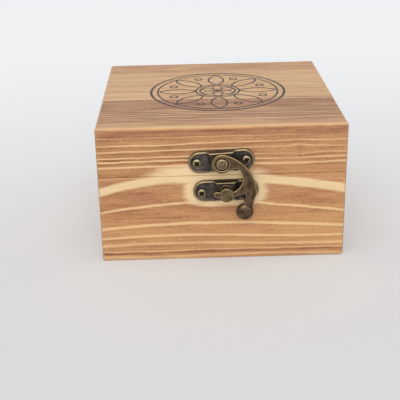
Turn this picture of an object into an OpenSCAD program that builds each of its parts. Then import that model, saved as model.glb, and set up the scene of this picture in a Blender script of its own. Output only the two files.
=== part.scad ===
// Small wooden dice box with a hinged lid and a swing-arm latch.
// Millimetres, +Z up, the latch faces -Y. The origin is the centre of the underside.

/* [Case] */
// Width of the closed case, side to side
case_width = 120; // [90:1:200]
// Depth of the closed case, front to back
case_depth = 120; // [90:1:200]
// Height of the lower half, bottom panel included
base_height = 44.5; // [36:0.5:90]
// Height of the lid, top panel included
lid_height = 24.3; // [20:0.1:50]
// Thickness of the front, back and side boards
wall = 9; // [7.5:0.5:14]
// Thickness of the panel glued under the lower half
bottom_panel_thick = 3; // [2:0.5:8]
// Thickness of the panel glued on top of the lid
top_panel_thick = 5; // [3:0.5:8]
// Gap between the lower half and the closed lid
seam_gap = 0.2; // [0.1:0.05:0.6]
// Radius sanded on the outer edges of the case
edge_round = 1.2; // [0.4:0.1:2.5]

/* [Latch plates] */
// Length of each stamped plate
plate_length = 31.8; // [30:0.1:36]
// Height of each stamped plate
plate_width = 10.8; // [9:0.1:12]
// Height of the screwed ends of a plate above the wood
pad_height = 1.8; // [1.4:0.1:2]
// Height of the raised middle of a plate above the wood
bridge_height = 3.2; // [2.8:0.1:3.4]
// Thickness of the metal over the hollow behind the raised middle
sheet_thick = 1; // [0.8:0.1:1.2]
// Length of the raised middle that carries the arm
latch_bridge_length = 9.2; // [8.5:0.1:11]
// Length of the raised middle that carries the catch post
catch_bridge_length = 7; // [6.8:0.1:9]
// Length of the slope between a screwed end and the raised middle
bridge_slope = 1.6; // [1:0.1:2]
// Radius of the rolled edge of a plate
plate_rim = 0.8; // [0.4:0.1:1.2]
// Distance between the two screws of a plate
plate_screw_spacing = 23.6; // [22.4:0.1:26]
// Slant of the upper plate, as it was screwed on by hand
latch_plate_tilt = 3; // [-4:0.5:4]
// Slant of the lower plate, as it was screwed on by hand
catch_plate_tilt = 1; // [-4:0.5:4]
// Distance of the lower plate's screws below its middle line
catch_screw_low = 0.7; // [-0.8:0.1:0.8]

/* [Latch arm] */
// Sideways place of the arm's rivet from the middle of the case
pivot_x = -0.4; // [-10:0.1:10]
// Height of the arm's rivet above the middle of the seam
pivot_above_seam = 7.6; // [7:0.1:9]
// Thickness of the arm
arm_thick = 2.2; // [1.6:0.1:2.4]
// Radius of the eye at the arm's upper end
arm_eye_r = 4.7; // [4:0.1:5]
// Sideways place of the centre of the arm's long outer curve, from the rivet
arm_back_x = -3.8; // [-5:0.1:-3]
// Radius of the round mouth inside the arm
arm_mouth_r = 7.2; // [6.8:0.1:7.4]
// Height of the arm's horn, which reaches into the catch post
horn_height = 2.8; // [2:0.1:2.9]
// Distance of the middle of the horn's round tip past the middle of the catch post
horn_past_post = 4.7; // [3.5:0.1:6]
// Sideways place of the finger knob from the rivet
knob_x = 10.9; // [10.4:0.1:11.4]
// Distance of the finger knob below the rivet
knob_drop = 24.9; // [24:0.1:25.6]
// Radius of the finger knob
knob_r = 4.2; // [3.6:0.1:4.4]
// Thickness of the finger knob
knob_thick = 4.2; // [3:0.1:4.2]

/* [Catch post] */
// Sideways place of the catch post from the middle of the case
catch_x = 1.7; // [1.4:0.1:2]
// Distance of the catch post below the middle of the seam
catch_below_seam = 7.5; // [7:0.1:8]
// Diameter of the catch post
post_d = 6.9; // [6.8:0.1:7.4]
// Width of the catch post across its two flats
post_flats = 5.9; // [5:0.1:6.4]
// Height of the catch post's face above the wood
post_height = 8.1; // [7.8:0.1:9]
// Thickness of the post's face in front of the horn
post_face_thick = 1.5; // [1.2:0.1:1.6]
// Thickness of the post's sill under the horn
post_sill = 0.8; // [0.6:0.05:0.9]

/* [Rivets and screws] */
// Diameter of the rivet that the arm turns on
rivet_d = 3; // [2.4:0.1:3.4]
// Diameter of the rivet's head
rivet_head_d = 5; // [4.4:0.1:5.6]
// Height of the rivet's head above the arm
rivet_head_rise = 0.4; // [0.2:0.1:1.6]
// Diameter of the sunk ring round the rivet's head
arm_recess_d = 6.8; // [6:0.1:7.4]
// Depth of the sunk ring round the rivet's head
arm_recess = 0.6; // [0.2:0.1:0.8]
// Thickness of the washer behind the arm
washer_thick = 0.5; // [0.4:0.1:1]
// Diameter of the washer behind the arm
washer_d = 7.4; // [6:0.1:8.4]
// Shank diameter of a plate screw
plate_screw_d = 2.4; // [2:0.1:2.6]
// Head diameter of a plate screw
plate_screw_head_d = 4.1; // [3.6:0.1:4.4]
// Length of a plate screw below its head
plate_screw_length = 8; // [5:0.5:8.5]
// Shank diameter of a hinge screw
hinge_screw_d = 2; // [1.6:0.1:2.2]
// Head diameter of a hinge screw
hinge_screw_head_d = 3.6; // [3.2:0.1:4]
// Length of a hinge screw below its head
hinge_screw_length = 6; // [4:0.5:7.5]

/* [Hinges] */
// Distance from a side of the case to the middle of the hinge near it
hinge_inset = 26; // [16:1:30]
// Length of each hinge along the seam
hinge_length = 20; // [18:0.5:24]
// Height of each hinge leaf from the pin's axis
hinge_leaf_height = 9.5; // [8.5:0.5:12]
// Thickness of a hinge leaf
hinge_leaf_thick = 1; // [0.8:0.1:1.2]
// Radius of the hinge barrel
barrel_r = 1.6; // [1.5:0.05:1.8]
// Radius of the hinge pin
hinge_pin_r = 0.8; // [0.6:0.05:0.9]
// Gap between the hinge barrel and the wood
barrel_gap = 0.3; // [0.3:0.05:0.6]
// Distance between the two screws of a hinge leaf
hinge_screw_spacing = 12; // [10:0.5:13]

/* [Fits] */
// Gap all round a shaft that turns in a bore
running_gap = 0.05; // [0.02:0.01:0.1]
// Gap between the ends of two hinge knuckles
knuckle_gap = 0.15; // [0.1:0.05:0.4]
// Gap all round a screw's shank in its hole
screw_gap = 0.05; // [0.02:0.01:0.1]
// Gap between the horn and the walls of the catch post's slot
slot_gap = 0.4; // [0.35:0.05:0.45]

/* [Hidden] */
$fn = 64;

wood = "burlywood";
bronze = "dimgray";
worn_brass = "darkkhaki";

case_height = base_height + lid_height + seam_gap;
seam_z = base_height + seam_gap / 2;
lid_z = base_height + seam_gap;
over = 1;

pivot_z = seam_z + pivot_above_seam;
catch_z = seam_z - catch_below_seam;

// The arm lies on the washer, and everything on the rivet stacks up from there.
arm_back = bridge_height + washer_thick;
arm_front = arm_back + arm_thick;
recess_floor = arm_front - arm_recess;
rivet_top = arm_front + rivet_head_rise;

// Places on the arm are measured from the rivet: x to the right, y upwards.
post_at = [catch_x - pivot_x, catch_z - pivot_z];
back_at = [arm_back_x, post_at.y];
arm_back_r = norm(back_at) + arm_eye_r;
mouth_at = [post_at.x + 0.55, post_at.y / 2];
neck_low = -arm_eye_r / 2;
elbow_y = back_at.y - 0.3;
// The upper edge of the horn is a wide circle that touches the bottom of the mouth,
// and the lower edge is one round the rivet, moved over so that the horn tapers.
horn_in_at = mouth_at + [0, 13.5];
horn_in_r = 13.5 + arm_mouth_r;
horn_mid_r = horn_in_r + horn_height / 2;
tip_x = post_at.x - horn_past_post;
tip_at = [tip_x, horn_in_at.y - sqrt(horn_mid_r ^ 2 - (horn_in_at.x - tip_x) ^ 2)];
horn_out_at = [1.2, 0];
horn_out_r = norm(tip_at - horn_out_at) + horn_height / 2;
knob_at = [knob_x, -knob_drop];
// The stem is what two circles leave of the arm between the elbow and the knob.
stem_inner_at = knob_at + [-5.4, 7.6];
stem_inner_r = 6;
stem_outer_at = knob_at + [22.2, 1.45];
stem_outer_r = 18.3;

hinge_spacing = case_width - 2 * hinge_inset;
knuckle_length = (hinge_length - 2 * knuckle_gap) / 3;
leaf_screw_z = (hinge_leaf_height + barrel_r) / 2;
pin_bore_r = hinge_pin_r + running_gap;

// Flat shapes

module rounded_rectangle(size, r) {
    square([size.x - 2 * r, size.y], center = true);
    square([size.x, size.y - 2 * r], center = true);
    for (sx = [-1, 1], sy = [-1, 1])
        translate([sx * (size.x / 2 - r), sy * (size.y / 2 - r)])
            circle(r);
}

// Half of a plate's cross-section, from its middle out to the rolled edge
module rolled_profile(half_width, thick, rim) {
    square([half_width - rim, thick]);
    square([half_width, thick - rim]);
    translate([half_width - rim, thick - rim])
        circle(rim);
}

// Places things on the outside of the case, with +Z pointing away from the wood

module on_front(x, z, tilt = 0) {
    translate([x, -case_depth / 2, z])
        rotate([90, 0, 0])
            rotate([0, 0, tilt])
                children();
}

module on_back(x, z) {
    translate([x, case_depth / 2, z])
        rotate([90, 0, 180])
            children();
}

module pair(spacing) {
    for (side = [-1, 1])
        translate([side * spacing / 2, 0, 0])
            children();
}

// Wooden case

// The closed case as one block with all its outer edges sanded round
module case_block() {
    intersection() {
        linear_extrude(case_height)
            rounded_rectangle([case_width, case_depth], edge_round);
        translate([0, case_depth, case_height / 2])
            rotate([90, 0, 0])
                linear_extrude(2 * case_depth)
                    rounded_rectangle([case_width, case_height], edge_round);
        translate([-case_width, 0, case_height / 2])
            rotate([90, 0, 90])
                linear_extrude(2 * case_width)
                    rounded_rectangle([case_depth, case_height], edge_round);
    }
}

// A slice of the case across its whole plan, from height z0 to z1
module panel(z0, z1) {
    color(wood)
        intersection() {
            case_block();
            translate([-case_width, -case_depth, z0])
                cube([2 * case_width, 2 * case_depth, z1 - z0]);
        }
}

// A front or back board, as wide as the case: side is -1 at the front, 1 at the back
module long_board(side, z0, z1) {
    intersection() {
        case_block();
        translate([-case_width, side * (case_depth / 2 + over - (wall + over) / 2), z0])
            translate([0, -(wall + over) / 2, 0])
                cube([2 * case_width, wall + over, z1 - z0]);
    }
}

// A side board, between the front and back boards: side is -1 at the left, 1 at the right
module short_board(side, z0, z1) {
    depth = case_depth - 2 * wall;
    color(wood)
        intersection() {
            case_block();
            translate([side * (case_width / 2 + over - (wall + over) / 2), 0, (z0 + z1) / 2])
                cube([wall + over, depth, z1 - z0], center = true);
        }
}

// Screws

// A screw with its head on z = 0, a pointed shank below and a cross cut in the head
module cross_screw(shank_d, head_d, head_h, length) {
    point = shank_d;
    difference() {
        union() {
            rotate_extrude()
                polygon([[0, -length], [shank_d / 2, point - length], [shank_d / 2, 0],
                    [head_d / 2, 0], [head_d / 2, head_h / 3], [head_d * 0.38, head_h * 0.8],
                    [head_d * 0.2, head_h], [0, head_h]]);
        }
        for (turn = [25, 115])
            rotate([0, 0, turn])
                translate([-head_d * 0.3, -head_d * 0.07, head_h * 0.4])
                    cube([head_d * 0.6, head_d * 0.14, head_h]);
    }
}

module plate_screw() {
    translate([0, 0, pad_height])
        cross_screw(plate_screw_d, plate_screw_head_d, 0.9, plate_screw_length);
}

module hinge_screw() {
    translate([0, 0, hinge_leaf_thick])
        cross_screw(hinge_screw_d, hinge_screw_head_d, 0.6, hinge_screw_length);
}

module screw_hole(shank_d, z0, z1) {
    translate([0, 0, z0])
        cylinder(h = z1 - z0, r = shank_d / 2 + screw_gap);
}

// The blind holes in a board behind a latch plate
module plate_pilot_holes(screw_low) {
    translate([0, -screw_low, 0])
        pair(plate_screw_spacing)
            screw_hole(plate_screw_d, pad_height - plate_screw_length - 0.2, over);
}

// The blind holes in a board behind the hinge leaves: side is -1 below the seam, 1 above
module hinge_pilot_holes(side) {
    for (x = [-1, 1] * hinge_spacing / 2)
        on_back(x, seam_z + side * leaf_screw_z)
            pair(hinge_screw_spacing)
                screw_hole(hinge_screw_d, hinge_leaf_thick - hinge_screw_length - 0.2, over);
}

// Latch

// A stamped plate with screwed ends and a raised, hollow middle
module stamped_plate(bridge_length, screw_low) {
    straight = plate_length - plate_width;
    hollow_length = bridge_length - 2 * sheet_thick;
    hollow_width = plate_width - 2 * plate_rim - 2 * sheet_thick;
    difference() {
        union() {
            rotate([90, 0, 90])
                translate([0, 0, -straight / 2])
                    linear_extrude(straight)
                        for (flip = [0, 1])
                            mirror([flip, 0])
                                rolled_profile(plate_width / 2, pad_height, plate_rim);
            pair(straight)
                rotate_extrude()
                    rolled_profile(plate_width / 2, pad_height, plate_rim);
            translate([0, plate_width / 2 - plate_rim, 0])
                rotate([90, 0, 0])
                    linear_extrude(plate_width - 2 * plate_rim)
                        polygon([[-bridge_length / 2 - bridge_slope, pad_height / 2],
                            [-bridge_length / 2 - bridge_slope, pad_height],
                            [-bridge_length / 2, bridge_height],
                            [bridge_length / 2, bridge_height],
                            [bridge_length / 2 + bridge_slope, pad_height],
                            [bridge_length / 2 + bridge_slope, pad_height / 2]]);
        }
        translate([-hollow_length / 2, -hollow_width / 2, -over])
            cube([hollow_length, hollow_width, bridge_height - sheet_thick + over]);
        translate([0, -screw_low, 0])
            pair(plate_screw_spacing)
                screw_hole(plate_screw_d, -over, pad_height + over);
        translate([0, 0, -over])
            cylinder(h = bridge_height + 2 * over, r = rivet_d / 2 + running_gap);
    }
}

// The tail of a rivet, closed in the hollow behind a plate, and its shank up to a height
module rivet_tail(shank_top) {
    tail = 0.8;
    translate([0, 0, bridge_height - sheet_thick - tail])
        cylinder(h = tail, d = rivet_d + 1.8);
    translate([0, 0, bridge_height - sheet_thick - tail / 2])
        cylinder(h = shank_top - bridge_height + sheet_thick + tail / 2, d = rivet_d);
}

module arm_outline() {
    far = 3 * knob_drop;
    // Eye
    circle(arm_eye_r);
    // Crescent from the eye round to the elbow
    difference() {
        intersection() {
            translate(back_at)
                circle(arm_back_r, $fn = 128);
            polygon([[0, 0], -far * back_at / norm(back_at), [far, 0], [far, elbow_y],
                [mouth_at.x + 0.4, elbow_y], [mouth_at.x + 0.4, mouth_at.y], [0, mouth_at.y]]);
        }
        intersection() {
            translate(mouth_at)
                circle(arm_mouth_r);
            translate([-far, neck_low - far])
                square([2 * far, far]);
        }
    }
    // Horn that reaches into the catch post
    intersection() {
        difference() {
            translate(horn_out_at)
                circle(horn_out_r, $fn = 128);
            translate(horn_in_at)
                circle(horn_in_r, $fn = 128);
        }
        polygon([horn_in_at, horn_in_at + 2 * (tip_at - horn_in_at), [0, -far],
            [mouth_at.x + arm_mouth_r, -far], [mouth_at.x + arm_mouth_r, horn_in_at.y]]);
    }
    translate(tip_at)
        circle(horn_height / 2);
    // Stem from the elbow down to the knob
    difference() {
        intersection() {
            translate(back_at)
                circle(arm_back_r, $fn = 128);
            translate([knob_at.x - 2, knob_at.y + knob_r / 2])
                square([far, elbow_y + 1 - knob_at.y - knob_r / 2]);
        }
        translate(stem_inner_at)
            circle(stem_inner_r);
        translate(stem_outer_at)
            circle(stem_outer_r, $fn = 128);
    }
}

// Flattened ball with a full round rim, centred on its own middle
module finger_knob() {
    rotate_extrude()
        intersection() {
            union() {
                translate([knob_r - knob_thick / 2, 0])
                    circle(knob_thick / 2);
                translate([0, -knob_thick / 2])
                    square([knob_r - knob_thick / 2, knob_thick]);
            }
            translate([0, -knob_thick])
                square([knob_r + over, 2 * knob_thick]);
        }
}

// Hinges

// One leaf with its knuckles, seen from behind the box: side is -1 below the seam, 1 above.
// The lower leaf has the two outer knuckles and the upper leaf has the middle one.
module hinge_leaf(side) {
    axis_out = barrel_gap + barrel_r;
    clear = barrel_r + 2 * barrel_gap;
    knuckles = side < 0 ? [-1, 1] : [0];
    step = knuckle_length + knuckle_gap;
    difference() {
        union() {
            translate([-hinge_length / 2, side > 0 ? clear : -hinge_leaf_height, 0])
                cube([hinge_length, hinge_leaf_height - clear, hinge_leaf_thick]);
            for (i = knuckles)
                translate([i * step - knuckle_length / 2, 0, 0]) {
                    translate([0, side > 0 ? 0 : -clear - over, 0])
                        cube([knuckle_length, clear + over, hinge_leaf_thick]);
                    translate([0, 0, axis_out])
                        rotate([0, 90, 0])
                            cylinder(h = knuckle_length, r = barrel_r);
                }
        }
        translate([-hinge_length, 0, axis_out])
            rotate([0, 90, 0])
                cylinder(h = 2 * hinge_length, r = pin_bore_r);
        translate([0, side * leaf_screw_z, 0])
            pair(hinge_screw_spacing)
                screw_hole(hinge_screw_d, -over, hinge_leaf_thick + over);
    }
}

module hinge_pin() {
    translate([-hinge_length / 2, 0, barrel_gap + barrel_r])
        rotate([0, 90, 0])
            cylinder(h = hinge_length, r = hinge_pin_r);
}

// The screws of both hinges: side is -1 below the seam, 1 above
module hinge_screws(side) {
    for (x = [-1, 1] * hinge_spacing / 2)
        on_back(x, seam_z + side * leaf_screw_z)
            pair(hinge_screw_spacing)
                hinge_screw();
}

// Lower half

module bottom_panel() {
    panel(-over, bottom_panel_thick);
}

module box_front_board() {
    color(wood)
        difference() {
            long_board(-1, bottom_panel_thick, base_height);
            on_front(catch_x, catch_z, catch_plate_tilt)
                plate_pilot_holes(catch_screw_low);
        }
}

module box_back_board() {
    color(wood)
        difference() {
            long_board(1, bottom_panel_thick, base_height);
            hinge_pilot_holes(-1);
        }
}

module box_left_board() {
    short_board(-1, bottom_panel_thick, base_height);
}

module box_right_board() {
    short_board(1, bottom_panel_thick, base_height);
}

module catch_plate() {
    color(bronze)
        on_front(catch_x, catch_z, catch_plate_tilt)
            stamped_plate(catch_bridge_length, catch_screw_low);
}

// Round post with two flats. Its slot takes the horn from the right and is open above,
// so the horn lies behind the post's face and over its sill.
module catch_post() {
    slot_back = arm_back - slot_gap;
    slot_front = post_height - post_face_thick;
    color(worn_brass)
        on_front(catch_x, catch_z) {
            rivet_tail(bridge_height + 0.1);
            difference() {
                intersection() {
                    translate([0, 0, bridge_height])
                        cylinder(h = post_height - bridge_height, d = post_d);
                    translate([-post_flats / 2, -post_d, 0])
                        cube([post_flats, 2 * post_d, post_height + over]);
                }
                translate([-post_d, post_sill - post_d / 2, slot_back])
                    cube([2 * post_d, 2 * post_d, slot_front - slot_back]);
            }
        }
}

module catch_screw(side) {
    color(worn_brass)
        on_front(catch_x, catch_z, catch_plate_tilt)
            translate([side * plate_screw_spacing / 2, -catch_screw_low, 0])
                plate_screw();
}

module catch_screw_left() {
    catch_screw(-1);
}

module catch_screw_right() {
    catch_screw(1);
}

module box_hinge_leaf_left() {
    color(bronze)
        on_back(-hinge_spacing / 2, seam_z)
            hinge_leaf(-1);
}

module box_hinge_leaf_right() {
    color(bronze)
        on_back(hinge_spacing / 2, seam_z)
            hinge_leaf(-1);
}

module hinge_pin_left() {
    color(worn_brass)
        on_back(-hinge_spacing / 2, seam_z)
            hinge_pin();
}

module hinge_pin_right() {
    color(worn_brass)
        on_back(hinge_spacing / 2, seam_z)
            hinge_pin();
}

module box_hinge_screws() {
    color(worn_brass)
        hinge_screws(-1);
}

// Lid

module top_panel() {
    panel(case_height - top_panel_thick, case_height + over);
}

module lid_front_board() {
    color(wood)
        difference() {
            long_board(-1, lid_z, case_height - top_panel_thick);
            on_front(pivot_x, pivot_z, latch_plate_tilt)
                plate_pilot_holes(0);
        }
}

module lid_back_board() {
    color(wood)
        difference() {
            long_board(1, lid_z, case_height - top_panel_thick);
            hinge_pilot_holes(1);
        }
}

module lid_left_board() {
    short_board(-1, lid_z, case_height - top_panel_thick);
}

module lid_right_board() {
    short_board(1, lid_z, case_height - top_panel_thick);
}

module latch_plate() {
    color(bronze)
        on_front(pivot_x, pivot_z, latch_plate_tilt)
            stamped_plate(latch_bridge_length, 0);
}

module latch_washer() {
    color(bronze)
        on_front(pivot_x, pivot_z)
            translate([0, 0, bridge_height])
                difference() {
                    cylinder(h = washer_thick, d = washer_d);
                    translate([0, 0, -over])
                        cylinder(h = washer_thick + 2 * over, r = rivet_d / 2 + running_gap);
                }
}

module latch_rivet() {
    head_edge = 0.3;
    head_low = recess_floor + running_gap;
    color(worn_brass)
        on_front(pivot_x, pivot_z) {
            rivet_tail(head_low + head_edge);
            rotate_extrude()
                polygon([[0, head_low], [rivet_head_d / 2, head_low],
                    [rivet_head_d / 2, rivet_top - head_edge],
                    [rivet_head_d / 2 - head_edge, rivet_top], [0, rivet_top]]);
        }
}

module latch_screw(side) {
    color(worn_brass)
        on_front(pivot_x, pivot_z, latch_plate_tilt)
            translate([side * plate_screw_spacing / 2, 0, 0])
                plate_screw();
}

module latch_screw_left() {
    latch_screw(-1);
}

module latch_screw_right() {
    latch_screw(1);
}

module lid_hinge_leaf_left() {
    color(bronze)
        on_back(-hinge_spacing / 2, seam_z)
            hinge_leaf(1);
}

module lid_hinge_leaf_right() {
    color(bronze)
        on_back(hinge_spacing / 2, seam_z)
            hinge_leaf(1);
}

module lid_hinge_screws() {
    color(worn_brass)
        hinge_screws(1);
}

// Arm, in its closed place with the horn behind the face of the catch post

module swing_arm() {
    color(bronze)
        on_front(pivot_x, pivot_z)
            difference() {
                union() {
                    translate([0, 0, arm_back])
                        linear_extrude(arm_thick)
                            arm_outline();
                    translate([knob_at.x, knob_at.y, arm_back + arm_thick / 2])
                        finger_knob();
                }
                translate([0, 0, recess_floor])
                    cylinder(h = arm_thick, d = arm_recess_d);
                cylinder(h = arm_front + over, r = rivet_d / 2 + running_gap);
            }
}

bottom_panel();
box_front_board();
box_back_board();
box_left_board();
box_right_board();
catch_plate();
catch_post();
catch_screw_left();
catch_screw_right();
box_hinge_leaf_left();
box_hinge_leaf_right();
hinge_pin_left();
hinge_pin_right();
box_hinge_screws();
top_panel();
lid_front_board();
lid_back_board();
lid_left_board();
lid_right_board();
latch_plate();
latch_washer();
latch_rivet();
latch_screw_left();
latch_screw_right();
lid_hinge_leaf_left();
lid_hinge_leaf_right();
lid_hinge_screws();
swing_arm();
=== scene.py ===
"""Dice box with a hinged lid and a swing-arm latch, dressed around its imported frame.

Lengths in the classes are millimetres, as a maker would note them, and each mesh is
put into metres when it is made. The front of the box looks towards -Y.
"""

import cmath
import logging
import math
import random
from contextlib import contextmanager
from dataclasses import dataclass, field
from enum import Enum
from typing import Any, Callable, Iterator, Optional, Sequence, Union

import bmesh
import bpy
from mathutils import Matrix, Vector


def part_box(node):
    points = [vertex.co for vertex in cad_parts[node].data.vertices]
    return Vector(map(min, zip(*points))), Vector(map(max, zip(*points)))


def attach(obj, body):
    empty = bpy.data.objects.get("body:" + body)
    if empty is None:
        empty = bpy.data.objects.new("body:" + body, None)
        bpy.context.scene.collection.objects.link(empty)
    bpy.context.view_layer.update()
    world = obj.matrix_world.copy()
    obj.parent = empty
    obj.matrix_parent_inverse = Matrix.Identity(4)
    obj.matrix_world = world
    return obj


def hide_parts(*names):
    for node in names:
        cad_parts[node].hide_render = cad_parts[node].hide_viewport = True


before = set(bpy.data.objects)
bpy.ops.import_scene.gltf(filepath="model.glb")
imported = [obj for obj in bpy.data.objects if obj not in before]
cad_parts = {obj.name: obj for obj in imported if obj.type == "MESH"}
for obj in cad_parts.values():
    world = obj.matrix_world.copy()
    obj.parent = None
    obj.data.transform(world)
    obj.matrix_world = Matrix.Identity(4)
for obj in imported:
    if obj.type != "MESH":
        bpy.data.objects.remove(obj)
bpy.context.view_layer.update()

LOG = logging.getLogger("dice_box")
MM = 0.001
HALF = 60.0
HEIGHT = 69.0
MERGE = 1e-6

Colour = tuple[float, float, float, float]
Place = tuple[float, float, float]
Point = tuple[float, float]
Span = tuple[float, float]
Oval = tuple[float, float, float, float]
Picker = Callable[[Vector, Vector], bool]
Stroke = tuple[list[complex], list[complex], bool]
Piece = bpy.types.Object
Material = bpy.types.Material
Values = dict[Any, Any]


class Body(str, Enum):
    """The moving bodies of the box."""

    LOWER = "lower_half"
    LID = "lid"
    ARM = "latch_arm"


class Slot(str, Enum):
    """The material slots of the record."""

    PINE = "scorched_pine"
    BRONZE = "antique_bronze"
    WORN = "worn_bronze"


class Grain(Enum):
    """The axes along a board's grain, across its face and into the board."""

    FRONT = ("X", "Z", "Y")
    FLAT = ("X", "Y", "Z")
    SIDE = ("Y", "Z", "X")


def paint(red: float, green: float, blue: float) -> Colour:
    """Turn a screen's colour, with channels from 0 to 255, into a linear one.

    Args:
        red: How red it is.
        green: How green it is.
        blue: How blue it is.

    Returns:
        The colour in linear light, opaque.
    """
    def linear(value: float) -> float:
        """Undo the screen's curve for one channel."""
        part = value / 255
        return part / 12.92 if part <= 0.04045 else ((part + 0.055) / 1.055) ** 2.4

    return (linear(red), linear(green), linear(blue), 1.0)


# -------- shader maths


def operator(operation: str) -> Callable[["Term", "Number"], "Term"]:
    """Make a method of Term that adds one Math node with a second value."""
    return lambda term, other: term.math(operation, other)


class Term:
    """A value in a material, with Python's operators turned into Math nodes."""

    __add__ = __radd__ = operator("ADD")
    __sub__ = operator("SUBTRACT")
    __mul__ = __rmul__ = operator("MULTIPLY")
    __truediv__ = operator("DIVIDE")
    __pow__ = operator("POWER")
    larger = operator("MAXIMUM")
    smaller = operator("MINIMUM")

    def __init__(self, graph: "Graph", socket: bpy.types.NodeSocket) -> None:
        """Wrap an output socket of a graph."""
        self.graph = graph
        self.socket = socket

    def math(self, operation: str, *others: "Number") -> "Term":
        """Put this value and others through one Math node."""
        values = dict(enumerate((self, *others)))
        return self.graph.term("ShaderNodeMath", {"operation": operation}, values)

    def __rsub__(self, other: float) -> "Term":
        """Subtract this value from a number."""
        return self.math("MULTIPLY_ADD", -1.0, other)

    def __abs__(self) -> "Term":
        """Drop the sign."""
        return self.math("ABSOLUTE")

    def sway(self, strength: float) -> "Term":
        """Centre a noise on 0 and give it a strength."""
        return (self - 0.5) * strength

    def ease(self, start: "Number", end: "Number") -> "Term":
        """Go smoothly from 0 at start to 1 at end; start may lie above end."""
        return self.graph.term(
            "ShaderNodeMapRange", {"interpolation_type": "SMOOTHSTEP"},
            {"Value": self, "From Min": start, "From Max": end})


Number = Union[Term, float]


@dataclass(frozen=True)
class Pattern:
    """A noise: its blobs to the millimetre on three axes, and its finer layers."""

    scale: Place
    detail: float = 2.0
    rough: float = 0.5


class Graph:
    """The node tree of a material or of the world."""

    def __init__(self, owner: Union[Material, bpy.types.World]) -> None:
        """Empty the owner's node tree.

        Args:
            owner: The material or the world.
        """
        owner.use_nodes = True
        self.tree = owner.node_tree
        self.tree.nodes.clear()

    def node(self, kind: str, settings: Optional[Values] = None,
             inputs: Optional[Values] = None) -> bpy.types.Node:
        """Add a node.

        Args:
            kind: The node's type.
            settings: Its settings. "stops" fills a colour ramp, and "points" a curve.
            inputs: Values or links for its sockets, by name or place.

        Returns:
            The node.
        """
        node = self.tree.nodes.new(kind)
        for key, value in (settings or {}).items():
            if key == "stops":
                elements = node.color_ramp.elements
                while len(elements) < len(value):
                    elements.new(0.5)
                for element, (place, colour) in zip(elements, value):
                    element.position = place
                    element.color = colour
            elif key == "points":
                points = node.mapping.curves[0].points
                while len(points) < len(value):
                    points.new(0.5, 0.5)
                for point, place in zip(points, value):
                    point.location = place
                node.mapping.update()
            else:
                setattr(node, key, value)
        for key, value in (inputs or {}).items():
            if isinstance(value, Term):
                self.tree.links.new(value.socket, node.inputs[key])
            else:
                node.inputs[key].default_value = value
        return node

    def term(self, kind: str, settings: Optional[Values] = None,
             inputs: Optional[Values] = None, output: Any = 0) -> Term:
        """Add a node and wrap the output of the given name or place."""
        return Term(self, self.node(kind, settings, inputs).outputs[output])

    def mix(self, factor: Number, low: Any, high: Any, blend: str = "MIX") -> Term:
        """Mix two colours; the factor says how much of the second one shows."""
        return self.term("ShaderNodeMix", {"data_type": "RGBA", "blend_type": blend},
                         {0: factor, 6: low, 7: high}, 2)

    def layers(self, base: Term, *coats: tuple[Number, Any]) -> Term:
        """Lay coats of colour over a base.

        Args:
            base: The base's colour.
            coats: How much each coat shows, and its colour.

        Returns:
            The colour on top.
        """
        for factor, colour in coats:
            base = self.mix(factor, base, colour)
        return base

    def axes(self, kind: str, scale: float) -> tuple[Term, Term, Term]:
        """Split one of the object's own vectors, in its own axes, and scale it.

        Args:
            kind: The output of the Texture Coordinate node.
            scale: What its parts are multiplied by.

        Returns:
            The three parts.
        """
        split = self.node("ShaderNodeSeparateXYZ", {}, {
            0: self.term("ShaderNodeTexCoord", output=kind)})
        return tuple(Term(self, part) * scale for part in split.outputs)

    def place(self) -> tuple[Term, Term, Term]:
        """Give the place on the object, in millimetres."""
        return self.axes("Object", 1 / MM)

    def noise(self, at: Sequence[Number], pattern: Pattern, shift: float = 0.0) -> Term:
        """Give a noise from 0 to 1.

        Args:
            at: The place.
            pattern: The noise's scale and layers.
            shift: A step along its third axis, which gives another cut of the noise.

        Returns:
            The noise.
        """
        x, y, z = (part * scale for part, scale in zip(at, pattern.scale))
        return self.term("ShaderNodeTexNoise", {}, {
            "Vector": self.term("ShaderNodeCombineXYZ", {}, {0: x, 1: y, 2: z + shift}),
            "Scale": 1.0, "Detail": pattern.detail, "Roughness": pattern.rough})

    def surface(self, colour: Term, roughness: Number, height: Term, lift: float,
                metallic: float = 0.0) -> Term:
        """Make the surface shader.

        Args:
            colour: The base colour.
            roughness: The roughness.
            height: The fine relief, from 0 to 1.
            lift: How far a relief of 1 stands out, in millimetres.
            metallic: 1 for bare metal.

        Returns:
            The shader.
        """
        bump = self.term("ShaderNodeBump", {}, {
            "Height": height, "Distance": lift * MM, "Strength": 1.0})
        return self.term("ShaderNodeBsdfPrincipled", {}, {
            "Base Color": colour, "Roughness": roughness, "Metallic": metallic,
            "Normal": bump})

    def seen(self) -> Term:
        """Find the rays that show a surface to the eye, in gloss and glass too.

        Returns:
            1 for such a ray.
        """
        rays = self.node("ShaderNodeLightPath").outputs
        camera, gloss, glass = (Term(self, rays[f"Is {kind} Ray"])
                                for kind in ("Camera", "Glossy", "Transmission"))
        return camera.larger(gloss).larger(glass)


# -------- finishes


@dataclass(frozen=True)
class Finish:
    """A finish, which each kind shades in its own way."""

    name: str

    def shade(self, g: Graph) -> Term:
        """Build the surface's shader in a material's graph."""
        raise NotImplementedError

    def material(self) -> Material:
        """Build the material.

        Returns:
            The material.
        """
        material = bpy.data.materials.new(self.name)
        g = Graph(material)
        g.node("ShaderNodeOutputMaterial", {}, {"Surface": self.shade(g)})
        return material


@dataclass(frozen=True)
class GrowthLine:
    """One pale growth line on a board's face.

    Its heights are taken at five places along the grain, from one end to the other.
    """

    heights: tuple[float, float, float, float, float]
    half_width: float = 0.45
    strength: float = 1.0
    singe: float = 0.5
    far_share: float = 1.0


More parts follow.
